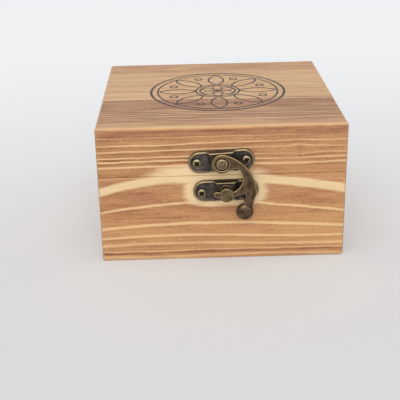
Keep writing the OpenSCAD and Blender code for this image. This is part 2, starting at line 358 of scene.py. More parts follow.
@dataclass(frozen=True)
class Knot:
    """A knot: its place along and across the grain, its size, and how dark it is."""

    along: float
    across: float
    size: float
    strength: float
    long: float = 1.9
    swell: float = 0.8


@dataclass(frozen=True)
class ScorchedPine(Finish):
    """Scorched, brushed pine: brown bands, pale growth lines, sanded edges with painted
    highlight.

    The shades say how light scorching left the board across it; the top's add a painted
    highlight.
    A tone says how strongly a pattern lightens the wood, or darkens it, and a bend how
    far it moves the growth lines.
    """

    grain: Grain
    lines: tuple[GrowthLine, ...]
    shades: tuple[Point, ...] = ((-60.0, 0.5), (70.0, 0.5))
    burnt: Colour = paint(140, 86, 52)
    dark: Colour = paint(174, 119, 78)
    middle: Colour = paint(196, 142, 96)
    warm: Colour = paint(217, 164, 107)
    line: Colour = paint(243, 203, 148)
    cream: Colour = paint(247, 216, 168)
    # sanded wood, which on the rounded edges also paints their highlight
    sanded_and_sheen: Colour = paint(228, 178, 122)
    heart: Colour = paint(104, 62, 38)
    end: Colour = paint(166, 118, 80)
    side_tint: Colour = paint(255, 255, 255)
    browns: tuple[float, ...] = (0.0, 0.25, 0.5, 0.85)
    wander: Pattern = Pattern((0.02, 0.12, 0.1))
    ripple: Pattern = Pattern((0.09, 0.35, 0.3), 1.0)
    fibre: Pattern = Pattern((0.05, 2.2, 2.2), 3.0, 0.7)
    streak: Pattern = Pattern((0.03, 0.85, 0.8), 3.0, 0.65)
    cloud: Pattern = Pattern((0.035, 0.2, 0.2), 3.0, 0.6)
    fleck: Pattern = Pattern((0.55, 0.9, 0.9), 3.0, 0.6)
    tear: Pattern = Pattern((0.3, 1.3, 0.9))
    rings: Pattern = Pattern((0.8, 0.4, 0.05), 3.0, 0.7)
    pores: Pattern = Pattern((5.0, 5.0, 0.4), 2.0, 0.6)
    ragged: Pattern = Pattern((1.4, 1.4, 1.0))
    waning: Pattern = Pattern((0.045, 0.3, 1.0))
    rubbing: Pattern = Pattern((0.12, 0.12, 0.12), 3.0, 0.6)
    blur: Pattern = Pattern((0.06, 0.3, 1.0), 3.0, 0.6)
    wander_bend: float = 1.2
    ripple_bend: float = 0.8
    fibre_bend: float = 0.35
    streak_tone: float = 0.8
    fleck_tone: float = 0.45
    fibre_tone: float = 0.4
    halo_tone: float = 0.3
    singe_tone: float = 0.32
    # painted light: a gradient that lightens the board towards +X
    painted_light_drift: float = 0.0
    torn: float = 0.5
    torn_from: Span = (0.66, 0.74)
    turned_away: Span = (0.6, 0.9)
    relief: float = 0.16
    wide_line: float = 1.0
    line_edge: Span = (1.35, 0.7)
    line_fade: Span = (0.52, 0.68)
    wane_least: float = 0.45
    singe_gap: float = 0.55
    singe_edge: Span = (0.85, 0.1)
    knots: tuple[Knot, ...] = ()
    span: float = 130.0
    reach: float = 200.0
    slant: float = 0.3
    face_at: float = -HALF
    shift: float = 0.0
    latch_glow: float = 0.0
    glow_depth: Span = (7.0, 2.0)
    glow_edge: Span = (1.4, 0.5)
    glow_patch: Oval = (1.4, 37.0, 20.2, 8.4)
    glow_strip: Oval = (-8.0, 44.8, 27.0, 5.4)
    end_share: float = 0.85
    rough: float = 0.62

    def shade(self, g: Graph) -> Term:
        """Lay grain, lines, scorching, sanded edges with painted highlight and painted light
        drift.

        Args:
            g: The material's graph.

        Returns:
            The shader.
        """
        axes = dict(zip("XYZ", g.place()))
        faces = dict(zip("XYZ", g.axes("Normal", 1.0)))
        along, across, deep = (axes[letter] for letter in self.grain.value)
        depth = deep - self.face_at
        at = (along, across, depth)
        wander, ripple, fibre, streak, cloud, tear = (
            g.noise(at, pattern, self.shift) for pattern in (
                self.wander, self.ripple, self.fibre, self.streak, self.cloud, self.tear))
        level = (across + depth * self.slant + wander.sway(self.wander_bend)
                 + ripple.sway(self.ripple_bend))
        level, heart, halo = self._knots(g, along, across, level)

        thin, wide, singe = self._lines(g, along, level + fibre.sway(self.fibre_bend),
                                        streak)
        light = g.term("ShaderNodeFloatCurve", {"points": self._on_curve(self.shades)},
                       {"Value": level / self.reach + 0.5})
        # The term along the grain paints a gradient of light, lighter towards +X.
        tone = (light + cloud.sway(1.0) + streak.sway(self.streak_tone)
                + fibre.sway(self.fibre_tone) + g.noise(at, self.fleck).sway(self.fleck_tone)
                - halo * self.halo_tone + along * self.painted_light_drift)
        brown = g.term("ShaderNodeValToRGB", {"stops": list(zip(
            self.browns, (self.burnt, self.dark, self.middle, self.warm)))},
            {"Fac": tone - singe * self.singe_tone})
        wide = wide * (streak * 0.55 + 0.7)
        if self.latch_glow:
            glow = self._glow(g, axes, fibre) * depth.ease(*self.glow_depth)
            wide = wide.larger(glow * self.latch_glow)
        torn = tear.ease(*self.torn_from) * self.torn
        face = g.layers(
            brown, ((thin * (streak * 0.7 + 0.62)).smaller(1.0), self.line),
            (wide.smaller(1.0), self.cream),
            # The sanded coat is also the painted highlight on the rounded edges.
            (self._sanded_and_sheen(g, axes) * (fibre * 0.6 + 0.6), self.sanded_and_sheen),
            (fibre.ease(0.36, 0.2) * 0.25, self.burnt), (torn, self.cream),
            (heart, self.heart))
        end, side = (abs(faces[letter]).ease(*self.turned_away)
                     for letter in self.grain.value[:2])
        face = g.mix(side, face, g.mix(1.0, face, self.side_tint, "MULTIPLY"))

        pale = thin.larger(wide).larger(torn)
        rings, pores = (g.noise((across, depth, along), pattern)
                        for pattern in (self.rings, self.pores))
        cut = g.mix((rings * 0.8 + pores * 0.4 - pale * 0.2).ease(0.35, 0.8),
                    self.end, self.dark)
        return g.surface(
            g.mix(end * self.end_share, face, cut),
            self.rough - pale * 0.12 + fibre.sway(0.25),
            pale * 0.5 + fibre * 0.35 + streak * 0.3, self.relief)

    def _on_curve(self, points: Sequence[Point]) -> list[Point]:
        """Bring the heights of a curve's points into its range of 0 to 1."""
        return [(height / self.reach + 0.5, value) for height, value in points]

    def _knots(self, g: Graph, along: Term, across: Term,
               level: Term) -> tuple[Term, Number, Number]:
        """Bend the grain round the knots.

        Args:
            g: The material's graph.
            along: The place along the grain.
            across: The place across the grain.
            level: The place across the grain, with its small waves.

        Returns:
            The bent level, the mask of the knots' hearts, and that of the wood near them.
        """
        heart, halo = 0.0, 0.0
        for knot in self.knots:
            side = (along - knot.along) / (knot.size * knot.long)
            rise = (across - knot.across) / knot.size
            rough = g.noise((side, rise, knot.size), self.ragged)
            apart = side * side + rise * rise + rough.sway(0.9)
            near = (apart * -0.35).math("EXPONENT")
            level = level - rise * near * (knot.size * knot.swell)
            rings = (apart * 14.0).math("SINE") * 0.16 + 0.74
            heart = apart.ease(0.72, 0.5) * rings * knot.strength + heart
            halo = near * knot.strength + halo
        return level, heart, halo

    def _lines(self, g: Graph, along: Term, level: Term,
               streak: Term) -> tuple[Term, Term, Term]:
        """Draw the growth lines.

        Args:
            g: The material's graph.
            along: The place along the grain.
            level: The place across the grain, with its small waves.
            streak: A noise that breaks up the scorched side of each line.

        Returns:
            How pale the thin and the wide lines leave the wood, and how much darker it
            is beside them.
        """
        station = along / self.span + 0.5
        far = station.ease(*self.line_fade)
        wane = g.noise((along, level, self.shift + 5.0), self.waning)
        wane = (wane * 2.0 + 0.05).smaller(1.0).larger(self.wane_least)
        thin = wide = singe = level * 0.0
        for line in self.lines:
            bend = g.term("ShaderNodeFloatCurve", {"points": [
                (index / 4, height / self.reach + 0.5)
                for index, height in enumerate(line.heights)]}, {"Value": station})
            above = level - (bend - 0.5) * self.reach
            half = line.half_width
            outer, inner = (share * half for share in self.line_edge)
            left = 1 - far * (1 - line.far_share)
            core = abs(above).ease(outer, inner) * line.strength * left
            below = (abs(above + half * 1.3 + self.singe_gap).ease(*self.singe_edge)
                     * line.singe * left)
            if half > self.wide_line:
                wide = core.larger(wide)
            else:
                thin = (core * wane).larger(thin)
            singe = (below * wane).larger(singe)
        return thin, wide, singe * (streak * 2.2 - 0.2)

    def _sanded_and_sheen(self, g: Graph, axes: dict[str, Term]) -> Term:
        """Mask the outer edges: sanded after scorching, and a painted highlight on the
        rounding.

        Args:
            g: The material's graph.
            axes: The place on the box.

        Returns:
            The mask.
        """
        x, y, z = axes.values()
        worn = g.noise((x, y, z), self.rubbing)
        side = (abs(x) + worn.sway(1.6)).ease(HALF - 1.4, HALF)
        ends = (abs(y) + worn.sway(2.0)).ease(HALF - 1.8, HALF - 0.1)
        top = (abs(z - HEIGHT / 2) + worn.sway(1.2)).ease(HEIGHT / 2 - 1.2, HEIGHT / 2 + 0.1)
        return (side * ends * 0.45).larger(side * top * 0.8).larger(ends * top)

    def _glow(self, g: Graph, axes: dict[str, Term], fibre: Term) -> Term:
        """Mask the pale heartwood behind the latch: a patch, and a strip beside it.

        Each is an oval of a middle and two half lengths, and the patch is squarer.

        Args:
            g: The material's graph.
            axes: The place on the box.
            fibre: A noise that frays the mask's edge.

        Returns:
            The mask.
        """
        x, z = axes["X"], axes["Z"]
        patch, strip = (
            (abs(x - mid_x) / half_x) ** power + (abs(z - mid_z) / half_z) ** power
            for (mid_x, mid_z, half_x, half_z), power in (
                (self.glow_patch, 4), (self.glow_strip, 2)))
        blur = g.noise((x, z, 0.0), self.blur).sway(1.3)
        return (patch.smaller(strip) + blur + fibre.sway(0.45)).ease(*self.glow_edge)


@dataclass(frozen=True)
class AgedMetal(Finish):
    """Blackened cast or stamped metal, with rubbed edges that also hold a painted highlight.

    It reads how far each point bulges, as noted on each piece's mesh.
    """

    sunk: Colour
    body: Colour
    # rubbed bare metal, which on the high edges is also their painted highlight
    rubbed_and_sheen: Colour
    # near black, laid in the deepest hollows such as the screws' crosses
    hollow_black: Colour = paint(26, 22, 20)
    cloud: Pattern = Pattern((0.35, 0.35, 0.35), 3.0, 0.6)
    grit: Pattern = Pattern((4.0, 4.0, 4.0), 3.0, 0.65)
    high: Span = (0.62, 0.95)
    low: Span = (0.47, 0.3)
    deep: Span = (0.2, 0.03)
    roughness: float = 0.42
    relief: float = 0.02

    def shade(self, g: Graph) -> Term:
        """Give high edges rubbed metal and a painted highlight; darken low and blacken deep
        ones.

        Args:
            g: The material's graph.

        Returns:
            The shader.
        """
        at = g.place()
        cloud, grit = (g.noise(at, pattern) for pattern in (self.cloud, self.grit))
        edge = g.term("ShaderNodeAttribute", {"attribute_name": "wear"}, output="Fac")
        # High edges: partly rubbed bare metal, partly a painted highlight.
        high = (edge + grit.sway(0.16)).ease(*self.high)
        tone = g.layers(
            self.body, (cloud.ease(0.35, 0.7), self.sunk), (high, self.rubbed_and_sheen),
            (edge.ease(*self.low) * 0.8, self.sunk), (edge.ease(*self.deep), self.hollow_black))
        rough = self.roughness + (grit.sway(0.2) + cloud.sway(0.15) - high * 0.1)
        return g.surface(tone, rough, grit, self.relief, metallic=1.0)


@dataclass(frozen=True)
class BurntLine(Finish):
    """The dark grey of lines burnt into the lid."""

    char: Colour
    ash: Colour
    grain: Pattern = Pattern((0.1, 2.4, 1.0), 3.0, 0.7)
    grit: Pattern = Pattern((3.0, 3.0, 3.0))
    relief: float = 0.03

    def shade(self, g: Graph) -> Term:
        """Speckle the char with ash along the grain of the lid.

        Args:
            g: The material's graph.

        Returns:
            The shader.
        """
        at = g.place()
        grain, grit = (g.noise(at, pattern) for pattern in (self.grain, self.grit))
        tone = g.mix((grain * 0.7 + grit * 0.3).ease(0.4, 0.75), self.char, self.ash)
        return g.surface(tone, 0.8 - grit * 0.2, grit, self.relief)


@dataclass(frozen=True)
class PaleFloor(Finish):
    """The pale studio floor, which brightens away from the box."""

    near: Colour
    far: Colour
    haze: Pattern = Pattern((0.002, 0.002, 1.0))
    waver: float = 60.0
    behind: Span = (-150.0, 420.0)
    all_round: Span = (350.0, 1200.0)
    glow_near: float = 0.2
    glow_more: float = 0.72

    def shade(self, g: Graph) -> Term:
        """Mix the floor, which takes the shadow, with the brightness of the room.

        Args:
            g: The material's graph.

        Returns:
            The shader.
        """
        x, y, z = g.place()
        back = (y + g.noise((x, y, z), self.haze).sway(self.waver)).ease(*self.behind)
        back = back.larger(((x * x + y * y) ** 0.5).ease(*self.all_round))
        floor = g.term("ShaderNodeBsdfPrincipled", {}, {
            "Base Color": g.mix(back, self.near, self.far), "Roughness": 0.9,
            "Specular IOR Level": 0.1})
        bright = g.term("ShaderNodeEmission", {}, {"Color": self.far, "Strength": 1.0})
        glow = g.seen() * (back * self.glow_more + self.glow_near)
        return g.term("ShaderNodeMixShader", {}, {0: glow, 1: floor, 2: bright})


# -------- modelling


def deselect() -> None:
    """Leave nothing selected."""
    for item in bpy.context.selected_objects:
        item.select_set(False)


def pick(piece: Piece) -> None:
    """Make a piece the only selected and active one.

    Args:
        piece: The piece.
    """
    deselect()
    piece.select_set(True)
    bpy.context.view_layer.objects.active = piece


def add(name: str, data: Any) -> Piece:
    """Put a new object into the scene.

    Args:
        name: Its name.
        data: Its mesh, lamp or camera.

    Returns:
        The object.
    """
    item = bpy.data.objects.new(name, data)
    bpy.context.scene.collection.objects.link(item)
    return item


@contextmanager
def editing(piece: Piece, edges: Optional[Picker] = None) -> Iterator[None]:
    """Work on a piece in edit mode, with some of its edges selected.

    Args:
        piece: The piece.
        edges: Tells from an edge's two ends whether to select it; all if left out.

    Yields:
        Nothing.
    """
    pick(piece)
    bpy.ops.object.mode_set(mode="EDIT")
    bpy.ops.mesh.select_mode(type="EDGE")
    mesh = bmesh.from_edit_mesh(piece.data)
    for edge in mesh.edges:
        edge.select_set(False)
    for edge in mesh.edges:
        if edges is None or edges(*(vert.co for vert in edge.verts)):
            edge.select_set(True)
    mesh.select_flush_mode()
    bmesh.update_edit_mesh(piece.data)
    yield
    bpy.ops.object.mode_set(mode="OBJECT")


def mend(piece: Piece, merge: float = MERGE) -> None:
    """Merge a piece's doubled points and turn its faces outwards.

    Args:
        piece: The piece.
        merge: How near two points lie that are one, in metres.
    """
    with editing(piece):
        bpy.ops.mesh.remove_doubles(threshold=merge)
        bpy.ops.mesh.normals_make_consistent(inside=False)


def refine(piece: Piece, kind: str, **settings: Any) -> None:
    """Give a piece a modifier and apply it.

    Args:
        piece: The piece.
        kind: The modifier's type.
        settings: What is set on it.
    """
    pick(piece)
    bpy.ops.object.modifier_add(type=kind)
    modifier = piece.modifiers[-1]
    for key, value in settings.items():
        setattr(modifier, key, value)
    bpy.ops.object.modifier_apply(modifier=modifier.name)


def settle(piece: Piece, place: Optional[Matrix] = None) -> None:
    """Put a piece in its place, and let its mesh hold the place, turn and size.

    Args:
        piece: The piece.
        place: Where it goes, if it isn't there yet.
    """
    if place is not None:
        piece.matrix_world = place
    pick(piece)
    bpy.ops.object.transform_apply(location=True, rotation=True, scale=True)


def smooth(piece: Piece, angle: float = 35.0) -> None:
    """Shade a piece smooth, with flat faces that stay flat.

    Args:
        piece: The piece.
        angle: Sharper edges than this, in degrees, stay sharp.
    """
    pick(piece)
    bpy.ops.object.shade_smooth_by_angle(angle=math.radians(angle))
    refine(piece, "WEIGHTED_NORMAL", keep_sharp=True)


def block(name: str, low: Sequence[float], high: Sequence[float]) -> Piece:
    """Start a piece from a block.

    Args:
        name: The piece's name.
        low: The lowest corner, in metres.
        high: The highest corner, in metres.

    Returns:
        The block.
    """
    deselect()
    centre = [(a + b) / 2 for a, b in zip(low, high)]
    bpy.ops.mesh.primitive_cube_add(size=1.0, location=centre)
    piece = bpy.context.object
    piece.name = name
    piece.scale = [b - a for a, b in zip(low, high)]
    settle(piece)
    return piece


def copy_node(node: str, name: str, flat: float = 0.5) -> Piece:
    """Start a piece from a copy of a CAD node, with its triangles joined.

    Args:
        node: The node.
        name: The piece's name.
        flat: Faces that turn by less than this, in degrees, become one.

    Returns:
        The copy, at the origin.
    """
    piece = add(name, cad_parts[node].data.copy())
    piece.data.materials.clear()
    with editing(piece):
        bpy.ops.mesh.remove_doubles(threshold=MERGE)
        bpy.ops.mesh.dissolve_limited(angle_limit=math.radians(flat))
    return piece


def lathe(name: str, profile: Sequence[Point], steps: int) -> Piece:
    """Spin a profile round the Z axis.

    Args:
        name: The piece's name.
        profile: Radius and height of each of its points.
        steps: The number of steps round.

    Returns:
        The turned piece, with its faces out.
    """
    mesh = bpy.data.meshes.new(name)
    mesh.from_pydata([(radius * MM, 0.0, height * MM) for radius, height in profile],
                     [(i, i + 1) for i in range(len(profile) - 1)], [])
    piece = add(name, mesh)
    with editing(piece):
        bpy.ops.mesh.spin(steps=steps, angle=2 * math.pi, center=(0, 0, 0), axis=(0, 0, 1))
    mend(piece)
    return piece


def chamfered(radius: float, low: float, high: float, cut: float) -> list[Point]:
    """Give the profile of a disc's outer edge, from below, with both corners cut."""
    return [(radius - cut, low), (radius, low + cut), (radius, high - cut),
            (radius - cut, high)]


def join(pieces: Sequence[Piece], name: str) -> Piece:
    """Join pieces into one.

    Args:
        pieces: The pieces.
        name: The name of the whole.

    Returns:
        The whole.
    """
    pick(pieces[0])
    for piece in pieces[1:]:
        piece.select_set(True)
    if len(pieces) > 1:
        bpy.ops.object.join()
    pieces[0].name = name
    return pieces[0]


def cast(piece: Piece, voxel: float, passes: int) -> Piece:
    """Fuse a piece's shells into one skin with soft edges, as a casting has.

    Args:
        piece: The piece.
        voxel: The fineness of the skin.
        passes: How often it is smoothed.

    Returns:
        The piece.
    """
    refine(piece, "REMESH", mode="VOXEL", voxel_size=voxel * MM, use_smooth_shade=True)
    refine(piece, "SMOOTH", factor=0.5, iterations=passes)
    mark_wear_and_sheen(piece)
    return piece


def mark_wear_and_sheen(piece: Piece, spread: int = 2, least: float = 1e-7) -> None:
    """Note how each point of a piece bulges, for its material's wear and painted highlight.

    The value is 0.5 on flat metal, 1 on a sharp outer edge and 0 in a sharp corner.

    Args:
        piece: The piece.
        spread: How often each point takes half its value from its neighbours.
        least: Edges up to this length, in metres, say nothing.
    """
    mesh = bmesh.new()
    mesh.from_mesh(piece.data)
    mesh.normal_update()
    bulge = []
    for vert in mesh.verts:
        total, count = 0.0, 0
        for edge in vert.link_edges:
            other = edge.other_vert(vert)
            run = vert.co - other.co
            if run.length > least:
                total += (vert.normal - other.normal).dot(run) / run.length_squared
                count += 1
        bulge.append(total / count * MM if count else 0.0)
    for _ in range(spread):
        bulge = [(bulge[v.index] + sum(bulge[e.other_vert(v).index] for e in v.link_edges)
                  / max(len(v.link_edges), 1)) / 2 for v in mesh.verts]
    mesh.free()
    layer = piece.data.attributes.new("wear", "FLOAT", "POINT")
    layer.data.foreach_set("value", [min(max(0.5 + b * 0.5, 0.0), 1.0) for b in bulge])


def seat(piece: Piece, place: Matrix, angle: float = 40.0) -> Piece:
    """Put a metal piece in place, shade it, note its bulges for wear and painted highlight.

    Args:
        piece: The piece.
        place: Where it goes.
        angle: Sharper edges than this, in degrees, stay sharp.

    Returns:
        The piece.
    """
    settle(piece, place)
    smooth(piece, angle)
    mark_wear_and_sheen(piece)
    return piece


def on_wood(x: float, z: float, back: bool = False, tilt: float = 0.0) -> Matrix:
    """Place things on the front or the back, with +Z pointing away from the wood.

    Args:
        x: Place from the middle of the box.
        z: Height above the underside.
        back: Whether the place is on the back.
        tilt: The turn against the clock, in degrees.

    Returns:
        The matrix.
    """
    side = Matrix.Rotation(math.pi, 4, "Z") if back else Matrix.Identity(4)
    return (Matrix.Translation(Vector((x, HALF if back else -HALF, z)) * MM) @ side
            @ Matrix.Rotation(math.pi / 2, 4, "X")
            @ Matrix.Rotation(math.radians(tilt), 4, "Z"))


def moved(x: float, y: float, z: float) -> Matrix:
    """Give a step in millimetres as a matrix."""
    return Matrix.Translation(Vector((x, y, z)) * MM)


def ease(value: float, start: float, end: float) -> float:
    """Go smoothly from 0 at start to 1 at end."""
    part = min(max((value - start) / (end - start), 0.0), 1.0)
    return part * part * (3 - 2 * part)


def dress(piece: Piece, finish: Material, slot: Slot, body: Body, *nodes: str) -> None:
    """Give a finished piece its material, its body and the nodes that it stands for.

    Args:
        piece: The piece.
        finish: Its material.
        slot: The record's slot that the finish comes from; not used.
        body: The body that it moves with.
        nodes: The CAD nodes that it replaces.
    """
    piece.data.materials.clear()
    piece.data.materials.append(finish)
    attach(piece, body.value)
    if nodes:
        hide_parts(*nodes)
    LOG.info("%s: %d faces, rides on %s", piece.name, len(piece.data.polygons), body.value)


# -------- sub-assemblies


def growth_lines(*rows: tuple) -> tuple[GrowthLine, ...]:
    """Make growth lines, each from a row of its values."""
    return tuple(GrowthLine(*row) for row in rows)


@dataclass
class WoodenCase:
    """The boards of the lower half and of the lid."""

    edge_round: float = 1.2
    joint_ease: float = 0.18
    round_steps: int = 5
    same_wall: float = 0.01
    front_lines: tuple[GrowthLine, ...] = growth_lines(
        ((65.0, 65.2, 65.6, 64.8, 65.4), 0.33, 0.8, 0.4),
        ((60.4, 60.6, 61.4, 61.3, 61.3), 0.33, 0.9, 0.35),
        ((57.0, 57.9, 58.2, 58.6, 58.2), 0.33, 0.9, 0.5, 0.6),
        ((54.0, 54.5, 55.0, 55.2, 55.0), 0.33, 0.95, 0.6, 0.45),
        ((52.0, 52.5, 52.8, 52.6, 53.0), 0.38, 1.0, 0.65, 0.7),
        ((49.5, 49.8, 50.2, 50.1, 50.5), 0.5, 1.0, 0.5, 0.8),
        ((43.7, 44.3, 44.4, 42.0, 41.2), 0.3, 0.35, 0.0),
        ((35.2, 42.6, 43.4, 40.6, 35.2), 2.1, 0.95, 0.25),
        ((25.4, 29.5, 31.0, 27.9, 24.0), 0.62, 1.0, 0.35),
        ((17.0, 19.1, 19.6, 18.2, 16.2), 0.7, 1.0, 0.4),
        ((11.6, 13.1, 13.0, 11.6, 11.3), 0.6, 0.95, 0.5),
        ((7.8, 9.0, 8.6, 7.6, 7.5), 0.6, 0.8, 0.6),
        ((5.0, 4.9, 5.1, 5.0, 5.3), 0.3, 0.7, 1.0),
        ((1.9, 2.0, 2.2, 2.1, 1.7), 0.6, 0.8, 0.2))
    front_shades: tuple[Point, ...] = (
        (-2.0, 0.8), (3.3, 0.38), (6.5, 0.68), (14.5, 0.66), (21.0, 0.6), (26.0, 0.48),
        (33.0, 0.44), (38.0, 0.54), (45.0, 0.5), (48.0, 0.5), (55.0, 0.45), (63.0, 0.47),
        (66.0, 0.36), (67.6, 0.34), (69.5, 0.7))
    top_lines: tuple[GrowthLine, ...] = growth_lines(
        ((-12.4, -12.6, -13.6, -15.4, -16.4), 0.6, 0.95, 1.0),
        ((-33.4, -33.6, -33.8, -34.2, -34.0), 0.3, 0.6, 0.9),
        ((-36.4, -36.6, -36.4, -37.0, -36.6), 0.3, 0.7, 0.9),
        ((-39.4, -39.2, -39.5, -40.0, -39.8), 0.35, 0.8, 1.0),
        ((-42.8, -43.0, -43.2, -43.4, -43.0), 0.3, 0.7, 1.0),
        ((-47.4, -47.8, -47.6, -48.0, -46.8), 0.4, 0.6, 0.8),
        ((-58.6, -58.8, -58.7, -58.8, -58.6), 0.6, 0.7, 0.6),
        ((-64.6, -65.0, -64.8, -65.0, -64.8), 0.4, 0.7, 0.4))
    # Near -59 the top's shades rise: paler wood, plus a painted highlight on the rounded front
    # edge.
    top_shades: tuple[Point, ...] = (
        (-66.0, 0.5), (-62.8, 0.34), (-60.8, 0.42), (-59.0, 0.8), (-56.5, 0.56),
        (-53.0, 0.5), (-50.0, 0.42), (-46.0, 0.34), (-35.0, 0.32), (-30.0, 0.26),
        (-18.0, 0.24), (-14.5, 0.26), (-12.0, 0.75), (-2.0, 0.7), (10.0, 0.72),
        (30.0, 0.75), (40.0, 0.62), (48.0, 0.5), (62.0, 0.6))

    def plain_lines(self, seed: int, low: float, high: float, spacing: float,
                    slope: float) -> tuple[GrowthLine, ...]:
        """Lay growth lines across a board that is not the front one.

        Args:
            seed: The seed of their small differences.
            low: Where the first line lies.
            high: Where the last line lies.
            spacing: The usual distance between lines.
            slope: How far the lines bow.

        Returns:
            The lines.
        """
        draw = random.Random(seed)
        lines = []
        at = low
        while at < high:
            bow = slope * math.sin((at - low) / (high - low) * math.pi)
            heights = tuple(at + bow * (1 - abs(step) ** 1.5) + draw.uniform(-0.35, 0.35)
                            for step in (-1, -0.5, 0, 0.5, 1))
            lines.append(GrowthLine(heights, draw.uniform(0.25, 0.6),
                                    draw.uniform(0.45, 0.95), draw.uniform(0.2, 0.6)))
            at += spacing * draw.uniform(0.4, 1.8)
        return tuple(lines)

    def roundness(self, ends: Sequence[Vector]) -> float:
        """Give how round an edge is: 1 outside on the closed box, less in a joint.

        Args:
            ends: The edge's two ends.

        Returns:
            The share of the full rounding.
        """
        walls = ((0, -HALF), (0, HALF), (1, -HALF), (1, HALF), (2, 0.0), (2, HEIGHT))
        sides = sum(all(abs(end[axis] / MM - wall) < self.same_wall for end in ends)
                    for axis, wall in walls)
        return 1.0 if sides == 2 else self.joint_ease / self.edge_round

    def board(self, node: str, body: Body, finish: Material) -> None:
        """Make one board in place of its node.

        Args:
            node: The node.
            body: The body that it moves with.
            finish: Its material.
        """
        piece = block(f"{node}_wood", *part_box(node))
        weights = piece.data.attributes.new("bevel_weight_edge", "FLOAT", "EDGE")
        for edge, weight in zip(piece.data.edges, weights.data):
            weight.value = self.roundness([piece.data.vertices[i].co for i in edge.vertices])
        refine(piece, "BEVEL", width=self.edge_round * MM, segments=self.round_steps,
               limit_method="WEIGHT")
        smooth(piece)
        dress(piece, finish, Slot.PINE, body, node)

    def pines(self) -> dict[str, Material]:
        """Make the finish of each board.

        Returns:
            The finishes, by the board's side of the box.
        """
        # The front board also gets a painted gradient of light, lighter towards +X.
        front = ScorchedPine(
            "front_pine", Grain.FRONT, self.front_lines, self.front_shades, streak_tone=0.6,
            fleck_tone=0.6, painted_light_drift=0.0012, latch_glow=1.0, knots=(Knot(37.0, 58.0, 1.5, 0.25),))
        top = ScorchedPine(
            "top_pine", Grain.FLAT, self.top_lines + self.plain_lines(5, -9, 31, 3.1, 0.6),
            self.top_shades, burnt=paint(134, 92, 66), dark=paint(170, 124, 93),
            middle=paint(194, 149, 111), warm=paint(216, 176, 131),
            line=paint(232, 193, 143), cream=paint(232, 193, 143),
            sanded_and_sheen=paint(230, 184, 130), side_tint=paint(255, 240, 222), streak_tone=1.05,
            slant=1.0, face_at=HEIGHT, shift=3.0)
        made = {"front": front.material(), "top": top.material()}
        for side, grain, lines, slant, face_at, step, knot in (
                ("bottom", Grain.FLAT, (9, -66, 62, 6.0, 2.0), 0.7, 0.0, 7.0,
                 Knot(18.0, -22.0, 3.0, 0.9)),
                ("back", Grain.FRONT, (12, 2, 70, 4.6, 3.0), 0.3, HALF, 11.0,
                 Knot(4.0, 17.0, 2.6, 0.8)),
                ("left", Grain.SIDE, (17, 2, 70, 5.0, 2.4), 0.3, -HALF, 17.0,
                 Knot(-21.0, 27.0, 2.8, 0.8)),
                ("right", Grain.SIDE, (23, 2, 70, 4.2, -2.0), 0.3, HALF, 23.0,
                 Knot(26.0, 55.0, 2.2, 0.7))):
            pine = ScorchedPine(f"{side}_pine", grain, self.plain_lines(*lines), slant=slant,
                                face_at=face_at, shift=step, knots=(knot,))
            made[side] = pine.material()
        return made

    def build(self) -> None:
        """Make all the boards."""
        pines = self.pines()
        for half, body, panel in (("box", Body.LOWER, "bottom"), ("lid", Body.LID, "top")):
            self.board(f"{panel}_panel", body, pines[panel])
            for side in ("front", "back", "left", "right"):
                self.board(f"{half}_{side}_board", body, pines[side])


